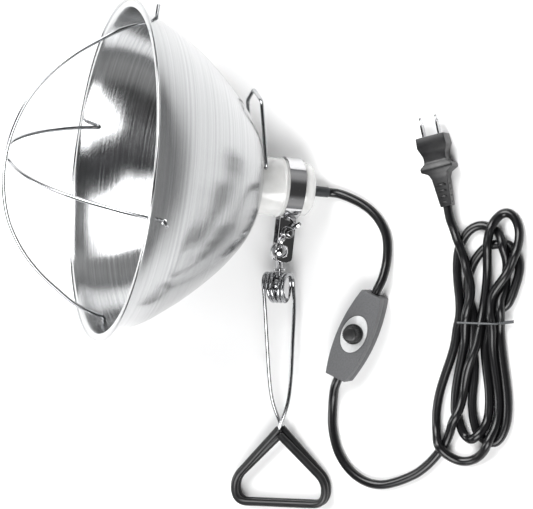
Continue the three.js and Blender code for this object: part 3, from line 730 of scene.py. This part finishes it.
def add_band():
    thick, inner_r, gap = 1.2, 23.2, 5.5  # gap is half of the space between the ears
    end, steps, pitch = -58, 96, 1.4
    mid_r = inner_r + thick / 2
    y = gap + thick / 2
    reach = math.asin(y / mid_r)
    ear = [end + pitch * k for k in range(24)]
    angles = [-math.pi + reach + (FULL - 2 * reach) * k / steps for k in range(steps + 1)]
    line = ([(x, -y) for x in ear] + [(mid_r * math.cos(t), mid_r * math.sin(t)) for t in angles]
            + [(x, y) for x in reversed(ear)])
    middle, half, corner = 143.5, 6.5, 4

    def half_width(x):
        past = max(0.0, end + corner - x)
        return half - corner + math.sqrt(max(0.0, corner ** 2 - past ** 2))

    rows = 6
    verts = [(x, yy, middle + half_width(x) * (2 * j / rows - 1))
             for x, yy in line for j in range(rows + 1)]
    w = rows + 1
    faces = [(i * w + j, (i + 1) * w + j, (i + 1) * w + j + 1, i * w + j + 1)
             for i in range(len(line) - 1) for j in range(rows)]
    obj = add_object("mounting_strap", mesh_from("band", verts, faces), LAMP, CHROME, "lamp")
    mod = obj.modifiers.new("thick", "SOLIDIFY")
    mod.thickness = thick
    mod.offset = 0
    for spot, radius in ((BALL_SPOT, BALL_HOLE_R), (NUT_SPOT, BOLT_HOLE_R)):
        hole = Matrix.Translation((spot.x, 0, spot.z)) @ Matrix.Rotation(QUARTER, 4, "X")
        cut_hole(obj, LAMP @ hole, radius, 40)
    apply_cuts(obj)
    bevel(obj, 0.25, 2, 50)
    soften(obj, 40)
    label(obj, "chrome", "mounting_band")


# ---------- ball, stud and spring clamp ----------
COIL_TURNS = 4.5
COIL_WIRE_R = 1.47
JAW_SLEEVE_R = 3.0
JAW_LAYER = 3.15                          # each jaw's wire, from the plane where they meet
JAW_NECK = -141.2                         # where the loop starts
JAW_SHOULDER = (39.2, -183.1)
JAW_HALF = 36.8
JAW_BAR = -200.9                          # the loop's straight end
JAW_SKEW = 0.025                          # rise of the loop from left to right


def add_stud():
    ball_r, stud_r = 7.3, 2.5
    down = CLAMP @ Matrix.Rotation(QUARTER, 4, "X")
    ball = [(-ball_r * math.cos(t), max(0.01, ball_r * math.sin(t)))
            for t in np.linspace(0, math.pi * 0.89, 30)]
    ball += [(7.4, stud_r), (25, stud_r), (25, 0.01)]
    collar = [(13.65, 2.8), (13.65, 4.2), (14, 4.7), (15.2, 4.7), (15.55, 4.2), (15.55, 2.8)]
    for name, profile, node in (("ball_and_stud", ball, "ball_stud"),
                                ("stud_ring", collar, "stud_collar")):
        label(lathe(name, profile, down, CHROME, "stud", 64, 50), "chrome", node)


def coil_point(turn):
    """Point of the torsion spring, whose turns fan apart on the side of the jaws."""
    turns, pitch, split, r, drop = COIL_TURNS, 3.15, 4.4, 10.85, 29
    t = QUARTER - FULL * turn
    middle = turn - turns / 2
    fan = -split if middle < 0.5 else split - pitch
    return (pitch * middle + fan * (1 + math.cos(t)) / 2, r * math.cos(t) - drop,
            r * math.sin(t))


def add_clamp():
    add_stud()
    steps = 320
    coil = [coil_point(COIL_TURNS * k / steps) for k in range(steps + 1)]
    spring = wire("torsion_spring", coil, COIL_WIRE_R, CLAMP, WIRE, "clamp")
    label(spring, "plated_wire", "spring_coil")
    for hand, name in ((1, "upper"), (-1, "lower")):
        z = hand * JAW_LAYER
        neck = (0, JAW_NECK, z)
        arm = spline([
            coil_point(COIL_TURNS if hand > 0 else 0), (hand * 8.6, -45, -hand * 9.8),
            (hand * 8.6, -75, -hand * 5.6), (hand * 8.3, -104, -hand * 1.4),
            (hand * 7.2, -118, hand * 0.8), (hand * 4.6, -129, hand * 2.6), (hand * 2, -135.6, z),
            (hand, -138.6, z), neck], 1.6)
        wide, shoulder = JAW_SHOULDER
        corners = [(x, y + JAW_SKEW * x, z) for x, y in (
            (-hand * wide, shoulder), (-hand * JAW_HALF, JAW_BAR),
            (hand * JAW_HALF, JAW_BAR), (hand * wide, shoulder))]
        loop = rounded([neck, *corners, (hand * 0.8, -146.4, z)], 9.2, 1.2)
        body = name + "_arm"
        leg = wire(name + "_leg", np.vstack([arm, loop[1:]]), WIRE_R, CLAMP, WIRE, body)
        label(leg, "plated_wire", name + "_arm")
        sleeve = wire(name + "_sleeve", loop, JAW_SLEEVE_R, CLAMP, VINYL, body, 8)
        label(sleeve, "vinyl", name + "_jaw_sleeve")


# ---------- dimmer ----------
DIMMER_SPLIT = (9.85, 10.1)               # top of the base and bottom of the cover
KNOB_FOOT = 20.5


def dimmer_half_width(y):
    """Half of the housing's width along a parabola from its ends to its middle."""
    end, wide = 8.5, 13.5
    bulge = 2 * wide - end
    t = (y + DIMMER_HALF) / (2 * DIMMER_HALF)
    return (1 - t) ** 2 * end + 2 * t * (1 - t) * bulge + t * t * end


def dimmer_shell(name, low, high):
    """Barrel-shaped half of the housing between two heights."""
    ys = np.linspace(-DIMMER_HALF, DIMMER_HALF, 33)
    outline = [(dimmer_half_width(y), y) for y in ys]
    outline += [(-x, y) for x, y in reversed(outline)]
    n = len(outline)
    verts = [(x, y, z) for z in (low, high) for x, y in outline]
    faces = [tuple(range(n))[::-1], tuple(range(n, 2 * n))]
    faces += [(i, (i + 1) % n, n + (i + 1) % n, n + i) for i in range(n)]
    return add_object(name, mesh_from(name, verts, faces), DIMMER, PLASTIC, "lamp")


def add_dimmer():
    cover = dimmer_shell("housing_cover", DIMMER_SPLIT[1], DIMMER_TOP)
    recess = (DIMMER @ Matrix.Translation((0, DIAL_Y, DIMMER_TOP + 0.2))
              @ Matrix.Diagonal((10.6, 15.6, 0.9, 1)))
    cut_hole(cover, recess, 1, 2, 64)
    apply_cuts(cover)
    bevel(cover, 0.9, 4, 40)
    soften(cover, 60)
    label(cover, "black_plastic", "dimmer_cover")
    base = dimmer_shell("housing_base", 0, DIMMER_SPLIT[0])
    bevel(base, 0.8, 4, 40)
    soften(base, 60)
    label(base, "black_plastic", "dimmer_base")
    oval = Matrix.Translation((0, DIAL_Y, 0)) @ Matrix.Diagonal((10.2, 15.2, 1, 1))
    plate = lathe("dial_oval", [(19.35, 0.01), (19.35, 1), (19.9, 1), (20.05, 0.985),
                                (20.05, 0.01)], DIMMER @ oval, DIAL, "lamp", 96)
    label(plate, "dial_grey", "dial_plate")
    add_knob()


def add_knob():
    foot, rib, n = KNOB_FOOT, 0.28, 96
    rows = [(foot, 7.6, False), (foot + 0.4, 8, False), (foot + 1.8, 8, False),
            (foot + 2.6, 7.2, False), (foot + 3.1, 6.5, True), (foot + 9.6, 6.0, True),
            (foot + 10.6, 5.4, False), (foot + 11, 4.6, False), (foot + 10.8, 3.9, False),
            (foot + 10.7, 0.01, False)]
    verts, faces = [], []
    for z, r, ribbed in rows:
        for k in range(n):
            t = FULL * k / n
            rr = r + (rib * (1 if k % 4 < 2 else -1) if ribbed else 0)
            verts.append((rr * math.cos(t), rr * math.sin(t) + DIAL_Y, z))
    for j in range(len(rows) - 1):
        faces += [(j * n + k, j * n + (k + 1) % n, (j + 1) * n + (k + 1) % n, (j + 1) * n + k)
                  for k in range(n)]
    faces.append(tuple(range(n))[::-1])
    knob = add_object("knob_cap", mesh_from("knob", verts, faces), DIMMER, VINYL, "knob")
    soften(knob, 35)
    label(knob, "black_plastic", "dimmer_knob", "pot_shaft")


# ---------- plug ----------
def add_plug():
    pieces = [refined("plug_body", "plug_shell", VINYL, "vinyl", "lamp", 1.0, 4, 25)]
    pieces += [refined(f"plug_blade_{k}", f"blade_{k}", CHROME, "chrome", "lamp", segments=2)
               for k in (1, 2)]
    inner = 3.9
    for k in range(4):
        y = 3 + 4.6 * k                   # the rings widen towards the head
        r = 5.3 + 0.42 * k
        profile = [(y - 1, inner), (y - 0.9, r - 0.3), (y - 0.5, r), (y + 0.5, r),
                   (y + 0.9, r - 0.3), (y + 1, inner)]
        ring = lathe(f"relief_ring_{k + 1}", profile, PLUG @ Matrix.Rotation(-QUARTER, 4, "X"),
                     VINYL, "lamp", 48, 60)
        label(ring, "vinyl")
        pieces.append(ring)
    return pieces


# ---------- twist tie round the hank ----------
def add_tie():
    cx, cy, half, top, lean = 178.4, -53, 15.9, 16.2, 0.4   # on the floor plan
    loop_r, end_r = 0.75, 0.6
    path = rounded([(cx - half, cy, 1), (cx - half, cy + lean, top),
                    (cx + half, cy - lean, top), (cx + half, cy, 1)], 5, 1)
    pieces = [wire("tie_loop", plan(path), loop_r, FROM_MM, TIE, "lamp")]
    label(pieces[0], "tie_wire", "twist_tie")
    twist_r, twist = 0.8, 0.9             # radians from one point to the next
    for phase, name in ((0, "tie_end_1"), (math.pi, "tie_end_2")):
        path = [(cx + half + 0.6 + 0.42 * k,
                 cy + twist_r * math.cos(phase + twist * k) + 0.05 * k,
                 9 + twist_r * math.sin(phase + twist * k) - 0.12 * k) for k in range(26)]
        pieces.append(wire(name, plan(path), end_r, FROM_MM, TIE, "lamp"))
        label(pieces[-1], "tie_wire")
    return pieces


# ---------- small parts, taken from the CAD ----------
def dress_small_parts():
    for node, material, slot, body in (
            ("wing_nut", CHROME, "chrome", "nut"),
            ("band_bolt", CHROME, "chrome", "lamp"),
            ("bolt_washer", CHROME, "chrome", "lamp"),
            ("coil_barrel", CHROME, "chrome", "clamp"),
            ("centre_contact", BRASS, "brass", "lamp"),
            ("cap_screw_1", BRASS, "brass", "lamp"),
            ("cap_screw_2", BRASS, "brass", "lamp"),
            ("terminal_screw_1", BRASS, "brass", "lamp"),
            ("terminal_screw_2", BRASS, "brass", "lamp"),
            ("potentiometer", BOARD, "circuit_board", "lamp"),
            ("dimmer_board", BOARD, "circuit_board", "lamp"),
            ("triac_heatsink", WIRE, "spun_aluminium", "lamp"),
            ("dimmer_screw_1", CHROME, "chrome", "lamp"),
            ("dimmer_screw_2", CHROME, "chrome", "lamp")):
        refined(node, node + "_fine", material, slot, body)


cord_a, path_a, cord_b, path_b = add_cords()
add_reflector()
add_guard()
add_bail()
add_socket()
add_band()
add_clamp()
add_dimmer()
plug_pieces = add_plug()
tie_pieces = add_tie()
dress_small_parts()
add_studio()
